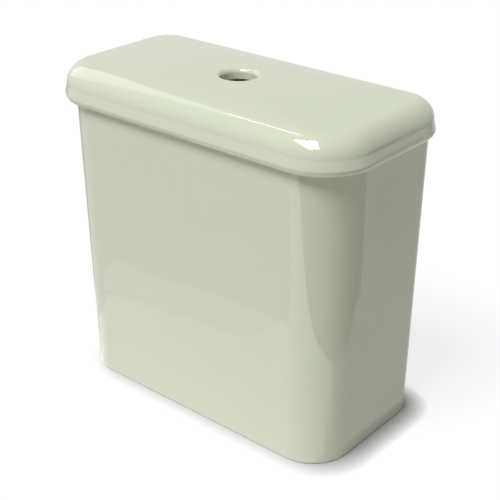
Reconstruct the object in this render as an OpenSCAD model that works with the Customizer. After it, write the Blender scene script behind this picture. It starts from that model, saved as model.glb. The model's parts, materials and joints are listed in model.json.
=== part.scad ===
// Close-coupled toilet cistern: a glazed china tank and lid, a push-operated flush valve
// and a bottom-entry fill valve with a sliding float.
// Millimetres, +Z up, front at -Y. The origin lies on the ground under the middle of the lid.

/* [Tank] */
// Outer width at the rim
tank_top_w = 360; // [345:1:390]
// Outer width at the foot
tank_base_w = 350; // [335:1:380]
// Outer depth at the rim, front to back
tank_top_d = 177; // [170:1:200]
// Outer depth at the foot, front to back
tank_base_d = 170; // [162:1:195]
// Height of the rim above the ground
rim_h = 324; // [300:1:370]
// Radius of the front corners at the rim
front_r_top = 51; // [20:1:60]
// Radius of the front corners at the foot
front_r_base = 45; // [25:1:60]
// Radius of the back corners at the rim
back_r_top = 20; // [14:1:35]
// Radius of the back corners at the foot
back_r_base = 24; // [18:1:35]
// Thickness of the tank's wall
wall_t = 9; // [7:0.5:11]
// Thickness of the tank's floor
floor_t = 12; // [8:0.5:18]
// Height of the recess under the floor
recess_h = 34; // [30:1:50]
// Width of the foot that the tank stands on
foot_t = 14; // [10:1:20]
// Fillet between floor and wall, inside
inner_fillet = 14; // [4:1:20]
// Fillet between the recess's roof and its sides
recess_fillet = 7; // [3:0.5:10]
// Rounding of the rim's outer edge
rim_edge_r = 2; // [1:0.5:4]
// Rounding of the foot's outer edge
foot_edge_r = 2; // [1:0.5:4]

/* [Lid] */
// Overhang past the tank at each side
side_overhang = 13; // [8:0.5:18]
// Overhang past the tank at the front
front_overhang = 8; // [7:0.5:14]
// Overhang past the tank at the back
back_overhang = 5; // [4:0.5:10]
// Height from the rim to the crown
lid_h = 42; // [38:1:55]
// Rise of the crown over the top edge
lid_crown = 4.3; // [1:0.1:8]
// Rounding of the top edge
lid_edge_r = 22; // [12:1:26]
// Inward lean of the side
lid_lean = 2; // [0.5:0.5:4]
// Height of the rounded lower lip
lip_h = 7.5; // [3:0.5:9]
// Depth of the rounded lower lip
lip_in = 5.7; // [3:0.1:6.5]
// Radius of the front corners
lid_front_r = 58; // [45:1:75]
// Radius of the back corners
lid_back_r = 40; // [30:1:60]
// Thickness of the lid at its hole
lid_t = 12; // [8:0.5:16]
// Fillet between the lid's ceiling and its rib
ceiling_fillet = 12; // [4:0.5:16]
// Depth of the locating rib below the rim
rib_h = 8; // [4:0.5:14]
// Thickness of the locating rib
rib_t = 5; // [3:0.5:8]
// Clearance of the rib inside the tank
rib_gap = 2; // [1:0.25:4]
// Diameter of the push-button hole
hole_d = 37; // [34:0.5:50]
// Rounding of the hole's upper edge
hole_edge_r = 5; // [1:0.5:6]
// Rounding of the hole's lower edge
hole_under_r = 1.5; // [0.5:0.5:3]
// Width of the flat land around the hole's upper edge
hole_land = 3; // [2:0.5:6]

/* [Fixing holes] */
// Distance between the two holes for the bolts to the pan
bolt_spacing = 160; // [130:1:180]
// Diameter of the holes for the bolts to the pan
bolt_hole_d = 14; // [10:0.5:18]
// Distance between the two screw holes in the back wall
wall_hole_spacing = 220; // [160:1:260]
// Diameter of the screw holes in the back wall
wall_hole_d = 8; // [6:0.5:12]
// Drop of the screw holes below the rim
wall_hole_drop = 45; // [35:1:70]

/* [Flush valve] */
// Outer diameter of the threaded tail
tail_d = 59.6; // [52:0.1:64]
// Wall of the tail
tail_wall = 4.8; // [3:0.1:6]
// Chamfer at the tail's end
tail_chamfer = 1.2; // [0.5:0.1:2]
// Clearance of the tail in the tank's floor, on the radius
tail_hole_gap = 1.5; // [0.5:0.25:4]
// Height of the tail's end above the ground
tail_foot = 4; // [2:0.5:12]
// Width of the flange around the tail
flange_w = 12; // [9:0.5:16]
// Thickness of the flange
flange_t = 4; // [3:0.5:7]
// Thickness of the rubber washer under the flange
washer_t = 3; // [2:0.5:6]
// Height of the seat over the flange
seat_h = 6; // [4:0.5:10]
// Width of the seat's ring
seat_w = 4; // [2.5:0.5:6]
// Reach of the seal past the seat
seal_over = 2; // [1:0.25:4]
// Thickness of the seal
seal_t = 3; // [2:0.25:5]
// Length of the seal's retaining ring
retainer_t = 6; // [4:0.5:9]
// Gap between the seal's retaining ring and the bore, on the radius
retainer_gap = 2.5; // [1.5:0.25:3]
// Width of the big nut across its flats
backnut_af = 76; // [72:0.5:84]
// Thickness of the big nut
backnut_t = 12; // [8:0.5:16]
// Height of the cage from the flange to its deck
cage_h = 45; // [38:1:60]
// Wall of the cage
cage_wall = 5; // [3:0.5:7]
// Height of the cage's lower ring
cage_ring_h = 8; // [5:0.5:12]
// Width of each post of the cage
post_w = 8; // [6:0.5:12]
// Number of posts
post_count = 6; // [5:1:8]
// Thickness of the cage's deck
cage_deck_t = 4; // [3:0.5:6]
// Outer diameter of the tower
tower_d = 60; // [54:0.5:64]
// Wall of the tower
tower_wall = 2.5; // [2:0.25:4]
// Width of the tower's slots
tower_slot_w = 10; // [6:0.5:16]
// Height of the tower's slots
tower_slot_h = 90; // [50:1:110]
// Outer diameter of the overflow tube
tube_d = 32; // [28:0.5:36]
// Wall of the overflow tube
tube_wall = 2; // [1.5:0.25:3]
// Thickness of the tube's sealing flange
core_flange_t = 4; // [3:0.5:6]
// Drop of the overflow's mouth below the rim
overflow_drop = 58; // [52:1:80]
// Drop of the tower's top below the overflow's mouth
tower_drop = 16; // [12:1:24]
// Height of the float on the overflow tube
core_float_h = 60; // [40:1:80]
// Height of that float over the cage's deck
core_float_gap = 30; // [10:1:40]
// Gap between that float and the tower, on the radius
core_float_side = 1.5; // [1:0.25:3]

/* [Push mechanism] */
// Diameter of the press pad
plunger_d = 30; // [29:0.5:34]
// Depth of the press pad's top below the lid's crown
plunger_drop = 14; // [13:0.5:22]
// Thickness of the press pad
plunger_t = 3; // [2:0.5:5]
// Outer diameter of the plunger's guide
guide_d = 24; // [20:0.5:25]
// Wall of the plunger's guide
guide_wall = 3; // [2:0.5:4]
// Length of the guide that stays inside the plunger
guide_lap = 12; // [6:0.5:16]
// Length of the head's socket over the tower
socket_h = 12; // [8:0.5:16]
// Wall of the head's socket, and width of the tower's foot
socket_t = 4; // [3:0.5:6]
// Width of the head's shoulder on the tower
shoulder_w = 5; // [4:0.5:7]
// Width of the two columns under the head's deck
column_w = 12; // [8:0.5:14]
// Thickness of those columns
column_t = 6; // [4:0.5:7]
// Thickness of the head's deck
deck_t = 6; // [4:0.5:8]
// Thickness of the yoke's bar
yoke_t = 6; // [4:0.5:8]
// Width of the yoke's bar
yoke_w = 14; // [10:0.5:20]
// Thickness of the yoke's legs
leg_t = 6; // [4:0.5:8]
// Outer arm of a rocker, pin to tip
rocker_out = 15; // [13:0.5:20]
// Inner arm of a rocker, pin to tip
rocker_in = 18; // [14:0.5:20]
// Half of a rocker's swing, in degrees
rocker_swing = 20; // [12:1:22]
// Width of a rocker
rocker_w = 10; // [6:0.5:14]
// Radius of a rocker's tips
tip_r = 3; // [2:0.25:3.5]
// Diameter of a rocker's pin
rocker_pin_d = 4; // [3:0.25:5]
// Radius of the ears that hold a rocker's pin
ear_r = 5; // [4:0.5:6]
// Thickness of those ears
ear_t = 4; // [3:0.5:6]
// Diameter of the lifting stem
stem_d = 6; // [4:0.5:8]
// Thickness of the stem's collar
collar_t = 3; // [2:0.5:5]
// Reach of the stem's collar past the middle of the rockers' tips
collar_over = 1; // [0.5:0.25:1.5]
// Height of the bar that carries the stem
stem_bar_h = 5; // [3:0.5:7]
// Length of the stem's cap over the overflow tube
stem_cap_h = 8; // [5:0.5:10]
// Wall of the stem's cap
stem_cap_t = 2.5; // [1.5:0.25:4]
// Thickness of the cap's rim over the tube's mouth
stem_rim_t = 2; // [1.5:0.25:3]
// Wire of the plunger's spring
spring_wire = 1.4; // [0.8:0.1:1.6]
// Turns of the plunger's spring
spring_turns = 8; // [5:1:9]

/* [Fill valve] */
// Outer diameter of the inlet thread
thread_d = 20.95; // [18:0.05:22]
// Chamfer at the inlet's end
shank_chamfer = 1; // [0.5:0.1:2]
// Bore of the inlet
inlet_bore = 10; // [8:0.5:12]
// Clearance of the inlet in the tank's floor, on the radius
inlet_hole_gap = 1; // [0.5:0.25:2]
// Diameter of the flange over the floor
shank_flange_d = 34; // [30:0.5:40]
// Thickness of that flange
shank_flange_t = 4; // [3:0.5:6]
// Thickness of the rubber washer under that flange
shank_washer_t = 3; // [2:0.5:5]
// Thickness of the washer over the inlet's nut
nut_washer_t = 2.5; // [1.5:0.25:4]
// Width of the inlet's nut across its flats
fill_nut_af = 30; // [27:0.5:36]
// Thickness of the inlet's nut
fill_nut_t = 9; // [6:0.5:12]
// Length of the filter in the inlet
filter_h = 24; // [12:1:36]
// Wall of the filter
filter_wall = 1; // [0.6:0.1:1.6]
// Outer diameter of the inner tube
inner_tube_d = 17; // [15:0.5:18]
// Drop of the inner tube's end below the valve
inner_tube_drop = 20; // [10:1:40]
// Height of the ring that the sleeve stands on
lock_ring_h = 10; // [6:0.5:16]
// Outer diameter of the sleeve
riser_d = 24; // [22:0.5:26]
// Width of the float's stop around the sleeve
stop_w = 3.5; // [2.5:0.25:5]
// Thickness of the float's stop
stop_t = 4; // [3:0.5:6]
// Width of the sleeve's outlet slots
outlet_slot_w = 5; // [3:0.5:8]
// Height of the sleeve's outlet slots
outlet_slot_h = 14; // [8:0.5:20]
// Drop of the valve's underside below the rim
head_drop = 78; // [70:1:100]
// Diameter of the valve
head_d = 40; // [36:0.5:46]
// Height of the valve's body
head_h = 18; // [16:0.5:24]
// Length of the valve's skirt over the sleeve
skirt_h = 10; // [6:0.5:14]
// Thickness of the valve's skirt
skirt_t = 4; // [3:0.5:6]
// Diameter of the diaphragm's chamber
chamber_d = 28; // [24:0.5:31]
// Depth of the diaphragm's chamber
chamber_h = 7; // [6.5:0.25:9]
// Thickness of the diaphragm
diaphragm_t = 2.5; // [1.5:0.25:3]
// Height of the valve's cap
cap_h = 7; // [5:0.5:10]
// Diameter of the pin that the arm presses
valve_pin_d = 5; // [4:0.25:6]
// Height of the arm's pivot over the cap
arm_rise = 9; // [8:0.5:12]
// Outer arm, pivot to link
arm_out = 36; // [34:0.5:44]
// Inner arm, pivot to valve pin
arm_in = 8; // [7:0.25:9]
// Half of the arm's swing, in degrees
arm_swing = 11.5; // [8:0.5:12]
// Width of the arm
arm_w = 8; // [6:0.5:10]
// Thickness of the arm
arm_t = 5; // [4:0.25:6]
// Reach of the arm's round boss past its faces
arm_boss_over = 1.5; // [1:0.25:2.5]
// Web past the slot at the arm's end
slot_end = 2; // [1.5:0.25:4]
// Diameter of the arm's pin
arm_pin_d = 3; // [2:0.25:4]
// Thickness of the ears that hold the arm's pin
arm_ear_t = 3; // [2:0.5:4]
// Diameter of the float
float_d = 72; // [60:1:76]
// Height of the float
float_h = 55; // [45:1:70]
// Wall of the float
float_wall = 2; // [1.5:0.25:3]
// Gap between the float and the tank's wall
float_wall_gap = 10; // [5:0.5:15]
// Room between the raised float and the valve
float_head_gap = 20; // [10:1:30]
// Diameter of the link between float and arm
rod_d = 3; // [2:0.25:4]
// Height of the float's lug and of the clip on it
lug_h = 8; // [6:0.5:10]
// Wall of the lug and the clip around the link
lug_wall = 3.5; // [2.5:0.25:5]
// Width of the link's nuts across their flats
link_nut_af = 6; // [5:0.25:7]
// Thickness of the link's nuts
link_nut_t = 2.5; // [2:0.25:4]

/* [Fits] */
// Clearance of a pin in the piece that turns or slides on it, on the radius
run_gap = 0.08; // [0.04:0.01:0.1]
// Clearance of a sliding tube in its guide, on the radius
slide_gap = 0.3; // [0.2:0.05:0.5]
// Clearance between two pieces that push each other
push_gap = 0.4; // [0.3:0.05:0.8]
// Clearance of a piece that is fitted over or inside another, on the radius
fit_gap = 0.1; // [0.05:0.05:0.2]
// Room left at the end of a travel
end_gap = 1.5; // [1:0.25:3]
// Depth of a thread: a nut and the stretch under it meet at the thread's root
thread_depth = 0.6; // [0.5:0.05:1.2]

/* [Hidden] */

// Smoothness of circles, and steps of the china's rounded outlines and edges
$fn = 64;
corner_steps = 12;
side_steps = 4;
front_steps = 8;
edge_steps = 4;
fillet_steps = 8;
dome_steps = 5;

// How far a cut runs past the face that it opens
cut = 1;
// How far a straight web stays inside the round boss that it runs into
web_inset = 0.5;
// Least radius of a corner that is drawn in
least_corner_r = 3;

// Colours
china = "#cbd0bc";
white_plastic = "#eef0ee";
grey_plastic = "#c3c8cb";
blue_plastic = "#5f86b8";
black_rubber = "#2b2b2d";
red_silicone = "#b5473c";
steel = "#b9bcc0";

// China
lid_w = tank_top_w + 2 * side_overhang;
lid_d = tank_top_d + front_overhang + back_overhang;
tank_back = lid_d / 2 - back_overhang;
crown_z = rim_h + lid_h;
lid_edge_z = crown_z - lid_crown;
ceiling_z = crown_z - lid_t;
floor_z = recess_h + floor_t;
hole_r = hole_d / 2;
hole_flat_r = hole_r + hole_edge_r + hole_land;
rib_out = wall_t + rib_gap;
rib_in = rib_out + rib_t;

// Flush valve
tail_r = tail_d / 2;
tail_root_r = tail_r - thread_depth;
tail_free_z = recess_h - backnut_t;
bore_r = tail_r - tail_wall;
flange_r = tail_r + flange_w;
flange_z = floor_z + washer_t;
flange_top = flange_z + flange_t;
seat_z = flange_top + seat_h;
seal_r = bore_r + seat_w + seal_over;
core_z = seat_z + seal_t;
tube_r = tube_d / 2;
retainer_r = bore_r - retainer_gap;
cage_top = flange_top + cage_h;
tower_z = cage_top + cage_deck_t;
tower_r = tower_d / 2;
overflow_z = rim_h - overflow_drop;
tower_top = overflow_z - tower_drop;
core_float_z = tower_z + core_float_gap;
core_float_r = tower_r - tower_wall - core_float_side;
window_w = 2 * PI * (flange_r - cage_wall) / post_count - post_w;

// Push mechanism
push = 2 * rocker_out * sin(rocker_swing);
lift = 2 * rocker_in * sin(rocker_swing);
stem_r = stem_d / 2;
pivot_x = stem_r + end_gap + tip_r + rocker_in;
plunger_top = crown_z - plunger_drop;
cap_in_z = plunger_top - plunger_t;
guide_top = cap_in_z - push - end_gap;
deck_top = guide_top - guide_lap - push - end_gap;
deck_z = deck_top - deck_t;
deck_r = pivot_x + ear_r + end_gap;
pivot_z = deck_z - end_gap - collar_t - push_gap - tip_r - rocker_in * sin(rocker_swing);
yoke_z = deck_top + push + end_gap;
leg_x = pivot_x + rocker_out;
leg_z = pivot_z + rocker_out * sin(rocker_swing) + tip_r + push_gap;
collar_z = pivot_z - rocker_in * sin(rocker_swing) + tip_r + push_gap;
collar_r = pivot_x - rocker_in * cos(rocker_swing) + collar_over;
beam_t = 2 * (tip_r - web_inset);
rocker_pin_r = rocker_pin_d / 2;
ear_y = rocker_w / 2 + push_gap;
guide_r = guide_d / 2;

// Fill valve
shank_r = thread_d / 2;
shank_root_r = shank_r - thread_depth;
shank_nut_z = recess_h - nut_washer_t - fill_nut_t;
shank_flange_z = floor_z + shank_washer_t;
shank_top = shank_flange_z + shank_flange_t;
shank_flange_r = shank_flange_d / 2;
inlet_x = -(tank_base_w / 2 - wall_t - float_d / 2 - float_wall_gap);
inner_tube_r = inner_tube_d / 2;
riser_r = riser_d / 2;
riser_z = shank_top + lock_ring_h;
riser_bore_r = inner_tube_r + fit_gap;
head_z = rim_h - head_drop;
head_r = head_d / 2;
chamber_z = head_z + head_h - chamber_h;
cap_z = head_z + head_h;
cap_top = cap_z + cap_h;
arm_z = cap_top + arm_rise;
arm_x = inlet_x + arm_in;
arm_tip_r = arm_t / 2;
arm_boss_r = arm_t / 2 + arm_boss_over;
arm_ear_y = arm_w / 2 + push_gap;
arm_ear_r = arm_boss_r;
arm_pin_r = arm_pin_d / 2;
pin_travel = 2 * arm_in * sin(arm_swing);
float_travel = 2 * arm_out * sin(arm_swing);
valve_pin_r = valve_pin_d / 2;
valve_pin_z = chamber_z + diaphragm_t + pin_travel + push_gap;
valve_pin_top = arm_z + arm_in * sin(arm_swing) - arm_tip_r - push_gap;
float_r = float_d / 2;
float_top = head_z - skirt_h - float_head_gap - float_travel;
float_z = float_top - float_h;
float_bore_r = riser_r + slide_gap;
rod_r = rod_d / 2;
rod_x = arm_x + arm_out;
rod_off = rod_x - inlet_x;
lug_w = rod_d + 2 * lug_wall;
link_nut_r = link_nut_af / 2 / cos(30);
link_end_z = arm_z - arm_out * sin(arm_swing);
link_nut_gap = arm_t / 2 / cos(arm_swing) + link_nut_r * tan(arm_swing) + push_gap;
rod_tail = 2 * lug_h;
slot_half = rod_r + push_gap + arm_out * (1 - cos(arm_swing)) + arm_t / 2 * sin(arm_swing);

// Value between a and b
function mix(a, b, t) = a + (b - a) * t;

// Points along an arc around c
function arc(c, r, a0, a1, n) =
    [for (k = [0:n]) let (a = mix(a0, a1, k / n)) c + r * [cos(a), sin(a)]];

// Points strictly between p and q
function between(p, q, n) = [for (k = [1:n - 1]) mix(p, q, k / n)];

// Rounded outline of half width hw, counter-clockwise from the front right corner
function outline(hw, yf, yb, rf, rb) =
    let (
        n = corner_steps,
        fr = arc([hw - rf, yf + rf], rf, -90, 0, n),
        br = arc([hw - rb, yb - rb], rb, 0, 90, n),
        bl = arc([rb - hw, yb - rb], rb, 90, 180, n),
        fl = arc([rf - hw, yf + rf], rf, 180, 270, n)
    )
    concat(
        fr, between(fr[n], br[0], side_steps), br, between(br[n], bl[0], front_steps),
        bl, between(bl[n], fl[0], side_steps), fl, between(fl[n], fr[0], front_steps)
    );

// Outline of the tank at height z, drawn in by inset
function tank_outline(z, inset) =
    let (
        t = z / rim_h,
        hw = mix(tank_base_w, tank_top_w, t) / 2 - inset,
        yf = tank_back - mix(tank_base_d, tank_top_d, t) + inset,
        rf = max(mix(front_r_base, front_r_top, t) - inset, least_corner_r),
        rb = max(mix(back_r_base, back_r_top, t) - inset, least_corner_r)
    )
    outline(hw, yf, tank_back - inset, rf, rb);

// Outline of the lid, drawn in by inset
function lid_outline(inset) =
    outline(
        lid_w / 2 - inset, inset - lid_d / 2, lid_d / 2 - inset,
        lid_front_r - inset, lid_back_r - inset
    );

// The outline's points pulled to a circle around the hole
function pulled(p, r, t) = [for (q = p) mix(q, r * q / norm(q), t)];

// Ring of points at height z
function ring(p, z) = [for (q = p) [q[0], q[1], z]];

// Middle of a ring
function middle(r) = [for (k = [0:2]) (min([for (p = r) p[k]]) + max([for (p = r) p[k]])) / 2];

// Solid through rings of equally many points, from the lowest to the highest
module loft(rings) {
    n = len(rings[0]);
    m = len(rings);
    top = (m - 1) * n;
    sides = [
        for (k = [0:m - 2], i = [0:n - 1], half = [0, 1])
            let (j = (i + 1) % n, low = k * n, high = low + n)
            half == 0 ? [low + i, high + i, high + j] : [low + i, high + j, low + j]
    ];
    ends = [
        for (i = [0:n - 1], half = [0, 1])
            let (j = (i + 1) % n)
            half == 0 ? [i, j, m * n] : [top + j, top + i, m * n + 1]
    ];
    polyhedron(
        points = concat([for (r = rings, p = r) p], [middle(rings[0]), middle(rings[m - 1])]),
        faces = concat(sides, ends)
    );
}

// Ring from r_in to r_out, from z0 to z1
module tube(r_in, r_out, z0, z1) {
    difference() {
        translate([0, 0, z0]) cylinder(r = r_out, h = z1 - z0);
        translate([0, 0, z0 - cut]) cylinder(r = r_in, h = z1 - z0 + 2 * cut);
    }
}

// Hexagon nut with a plain bore
module nut(af, bore, z0, t) {
    difference() {
        translate([0, 0, z0]) cylinder(d = af / cos(30), h = t, $fn = 6);
        translate([0, 0, z0 - cut]) cylinder(r = bore, h = t + 2 * cut);
    }
}

// Round bar along Y, centred on the XZ plane
module cross_bar(r, length) {
    rotate([90, 0, 0]) cylinder(r = r, h = length, center = true);
}

// What stands on the inlet's axis
module at_inlet() {
    translate([inlet_x, 0, 0]) children();
}

module cistern_body() {
    foot = [
        for (k = [0:edge_steps]) let (a = 90 * k / edge_steps, z = foot_edge_r * (1 - cos(a)))
            ring(tank_outline(z, foot_edge_r * (1 - sin(a))), z)
    ];
    rim = [
        for (k = [0:edge_steps]) let (a = 90 * k / edge_steps, z = rim_h - rim_edge_r * (1 - sin(a)))
            ring(tank_outline(z, rim_edge_r * (1 - cos(a))), z)
    ];
    hollow_floor = [
        for (k = [0:edge_steps]) let (a = 90 * k / edge_steps, z = floor_z + inner_fillet * (1 - cos(a)))
            ring(tank_outline(z, wall_t + inner_fillet * (1 - sin(a))), z)
    ];
    recess_roof = [
        for (k = [0:edge_steps]) let (a = 90 * k / edge_steps, z = recess_h - recess_fillet * (1 - sin(a)))
            ring(tank_outline(z, foot_t + recess_fillet * (1 - cos(a))), z)
    ];
    mouth = ring(tank_outline(rim_h + cut, wall_t), rim_h + cut);
    underside = ring(tank_outline(-cut, foot_t), -cut);
    color(china)
    difference() {
        loft(concat(foot, rim));
        loft(concat(hollow_floor, [mouth]));
        loft(concat([underside], recess_roof));
        translate([0, 0, recess_h - cut])
            cylinder(r = tail_r + tail_hole_gap, h = floor_t + 2 * cut);
        at_inlet() translate([0, 0, recess_h - cut])
            cylinder(r = shank_r + inlet_hole_gap, h = floor_t + 2 * cut);
        for (side = [-1, 1]) {
            translate([side * bolt_spacing / 2, 0, recess_h - cut])
                cylinder(d = bolt_hole_d, h = floor_t + 2 * cut);
            translate([side * wall_hole_spacing / 2, tank_back + cut, rim_h - wall_hole_drop])
                rotate([90, 0, 0]) cylinder(d = wall_hole_d, h = wall_t + 2 * cut);
        }
    }
}

module cistern_lid() {
    lip = [
        for (k = [0:edge_steps]) let (a = 90 * k / edge_steps)
            ring(lid_outline(lip_in * (1 - sin(a))), rim_h + lip_h * (1 - cos(a)))
    ];
    // The rounded top edge ends where it is as steep as the crown's start
    edge_end = atan((lid_d / 2 - lid_edge_r - hole_flat_r) / (2 * lid_crown));
    edge = [
        for (k = [0:fillet_steps]) let (a = edge_end * k / fillet_steps)
            ring(
                lid_outline(lid_lean + lid_edge_r * (1 - cos(a))),
                lid_edge_z - lid_edge_r * (1 - sin(a))
            )
    ];
    edge_top_z = lid_edge_z - lid_edge_r * (1 - sin(edge_end));
    edge_top = lid_outline(lid_lean + lid_edge_r * (1 - cos(edge_end)));
    dome = [
        for (k = [1:dome_steps]) let (t = k / dome_steps)
            ring(pulled(edge_top, hole_flat_r, t), mix(edge_top_z, crown_z, 1 - (1 - t) ^ 2))
    ];
    rib = [
        for (z = [rim_h - rib_h, rim_h + lip_h]) ring(tank_outline(rim_h, rib_out), z)
    ];
    roof = [
        for (k = [0:edge_steps]) let (a = 90 * k / edge_steps)
            ring(
                tank_outline(rim_h, rib_in + ceiling_fillet * (1 - cos(a))),
                ceiling_z - ceiling_fillet * (1 - sin(a))
            )
    ];
    opening = ring(tank_outline(rim_h, rib_in), rim_h - rib_h - cut);
    color(china)
    difference() {
        union() {
            loft(concat(lip, edge, dome));
            loft(rib);
        }
        loft(concat([opening], roof));
        rotate_extrude() polygon(concat(
            [[0, ceiling_z - cut], [hole_r + hole_under_r, ceiling_z - cut]],
            arc([hole_r + hole_under_r, ceiling_z + hole_under_r], hole_under_r, 270, 180, edge_steps),
            arc([hole_r + hole_edge_r, crown_z - hole_edge_r], hole_edge_r, 180, 90, fillet_steps),
            [[hole_r + hole_edge_r, crown_z + cut], [0, crown_z + cut]]
        ));
    }
}

module flush_base() {
    color(white_plastic)
    rotate_extrude() polygon([
        [bore_r, tail_foot], [tail_r - tail_chamfer, tail_foot], [tail_r, tail_foot + tail_chamfer],
        [tail_r, tail_free_z], [tail_root_r, tail_free_z],
        [tail_root_r, flange_z], [flange_r, flange_z], [flange_r, flange_top],
        [bore_r + seat_w, flange_top], [bore_r + seat_w, seat_z], [bore_r, seat_z]
    ]);
}

module flush_washer() {
    color(black_rubber) tube(tail_root_r + fit_gap, flange_r, floor_z, flange_z);
}

module flush_backnut() {
    color(white_plastic) nut(backnut_af, tail_root_r + fit_gap, tail_free_z, backnut_t);
}

module flush_cage() {
    color(grey_plastic)
    difference() {
        union() {
            tube(flange_r - cage_wall, flange_r, flange_top, tower_z);
            translate([0, 0, cage_top]) cylinder(r = flange_r - cage_wall / 2, h = cage_deck_t);
        }
        for (k = [0:post_count - 1]) rotate(360 * (k + 0.5) / post_count)
            translate([flange_r - 2 * cage_wall, -window_w / 2, flange_top + cage_ring_h])
                cube([3 * cage_wall, window_w, cage_h - cage_ring_h]);
        translate([0, 0, cage_top - cut])
            cylinder(r = tube_r + slide_gap, h = cage_deck_t + 2 * cut);
    }
}

module flush_tower() {
    slot_z = (tower_z + tower_top - tower_slot_h) / 2;
    color(white_plastic)
    difference() {
        union() {
            tube(tower_r - tower_wall, tower_r, tower_z, tower_top);
            tube(tower_r - tower_wall, tower_r + socket_t, tower_z, tower_z + tower_wall);
        }
        for (k = [0:1]) rotate(90 * k + 45)
            translate([-tower_d, -tower_slot_w / 2, slot_z])
                cube([2 * tower_d, tower_slot_w, tower_slot_h]);
    }
}

module overflow_tube() {
    color(white_plastic)
    union() {
        tube(tube_r - tube_wall, tube_r, seat_z - retainer_t, overflow_z);
        tube(tube_r - tube_wall, seal_r, core_z, core_z + core_flange_t);
    }
}

module flush_seal() {
    color(red_silicone) tube(tube_r + fit_gap, seal_r, seat_z, core_z);
}

module seal_retainer() {
    color(blue_plastic) tube(tube_r + fit_gap, retainer_r, seat_z - retainer_t, seat_z);
}

module core_float() {
    color(blue_plastic)
        tube(tube_r + fit_gap, core_float_r, core_float_z, core_float_z + core_float_h);
}

module lift_stem() {
    cap_r = tube_r + stem_cap_t;
    bar_length = 2 * tube_r;
    color(grey_plastic)
    union() {
        tube(tube_r + fit_gap, cap_r, overflow_z - stem_cap_h, overflow_z + stem_rim_t);
        tube(tube_r - tube_wall, cap_r, overflow_z, overflow_z + stem_rim_t);
        translate([-stem_d / 2, -bar_length / 2, overflow_z])
            cube([stem_d, bar_length, stem_bar_h]);
        translate([0, 0, overflow_z + stem_bar_h / 2])
            cylinder(r = stem_r, h = collar_z - overflow_z);
        translate([0, 0, collar_z]) cylinder(r = collar_r, h = collar_t);
    }
}

module valve_head() {
    shoulder_z = tower_top + socket_t;
    ear_w = 2 * (ear_r - web_inset);
    color(white_plastic)
    difference() {
        union() {
            tube(tower_r + fit_gap, tower_r + socket_t, tower_top - socket_h, shoulder_z);
            tube(tower_r - shoulder_w, tower_r + socket_t, tower_top, shoulder_z);
            for (side = [-1, 1])
                translate([-column_w / 2, side * (tower_r - column_t / 2) - column_t / 2, tower_top])
                    cube([column_w, column_t, deck_top - deck_t / 2 - tower_top]);
            translate([0, 0, deck_z]) cylinder(r = deck_r, h = deck_t);
            translate([0, 0, deck_z]) cylinder(r = guide_r, h = guide_top - deck_z);
            for (x = [-pivot_x, pivot_x], side = [-1, 1])
                translate([x, side * (ear_y + ear_t / 2), pivot_z]) {
                    cross_bar(ear_r, ear_t);
                    translate([-ear_w / 2, -ear_t / 2, 0])
                        cube([ear_w, ear_t, deck_z + deck_t / 2 - pivot_z]);
                }
        }
        translate([0, 0, deck_top]) cylinder(r = guide_r - guide_wall, h = guide_top - deck_top + cut);
        for (x = [-pivot_x, pivot_x])
            translate([x, 0, pivot_z]) cross_bar(rocker_pin_r + fit_gap, 2 * tower_d);
    }
}

// Rocker on the right: its outer tip stands high at rest
module rocker() {
    translate([pivot_x, 0, pivot_z]) rotate([0, -rocker_swing, 0])
    difference() {
        union() {
            cross_bar(ear_r, rocker_w);
            for (x = [-rocker_in, rocker_out]) translate([x, 0, 0]) cross_bar(tip_r, rocker_w);
            translate([-rocker_in, -rocker_w / 2, -beam_t / 2])
                cube([rocker_in + rocker_out, rocker_w, beam_t]);
        }
        cross_bar(rocker_pin_r + run_gap, rocker_w + 2 * cut);
    }
}

module rocker_right() {
    color(blue_plastic) rocker();
}

module rocker_left() {
    color(blue_plastic) mirror([1, 0, 0]) rocker();
}

module rocker_pins() {
    color(steel)
    for (x = [-pivot_x, pivot_x])
        translate([x, 0, pivot_z]) cross_bar(rocker_pin_r, 2 * (ear_y + ear_t + push_gap));
}

module flush_plunger() {
    reach = leg_x + leg_t / 2;
    color(grey_plastic)
    difference() {
        union() {
            translate([0, 0, yoke_z]) cylinder(d = plunger_d, h = plunger_top - yoke_z);
            translate([-reach, -yoke_w / 2, yoke_z]) cube([2 * reach, yoke_w, yoke_t]);
            for (side = [-1, 1])
                translate([side * leg_x - leg_t / 2, -rocker_w / 2, leg_z])
                    cube([leg_t, rocker_w, yoke_z + yoke_t / 2 - leg_z]);
        }
        translate([0, 0, yoke_z - cut]) cylinder(r = guide_r + run_gap, h = cap_in_z - yoke_z + cut);
    }
}

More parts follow.
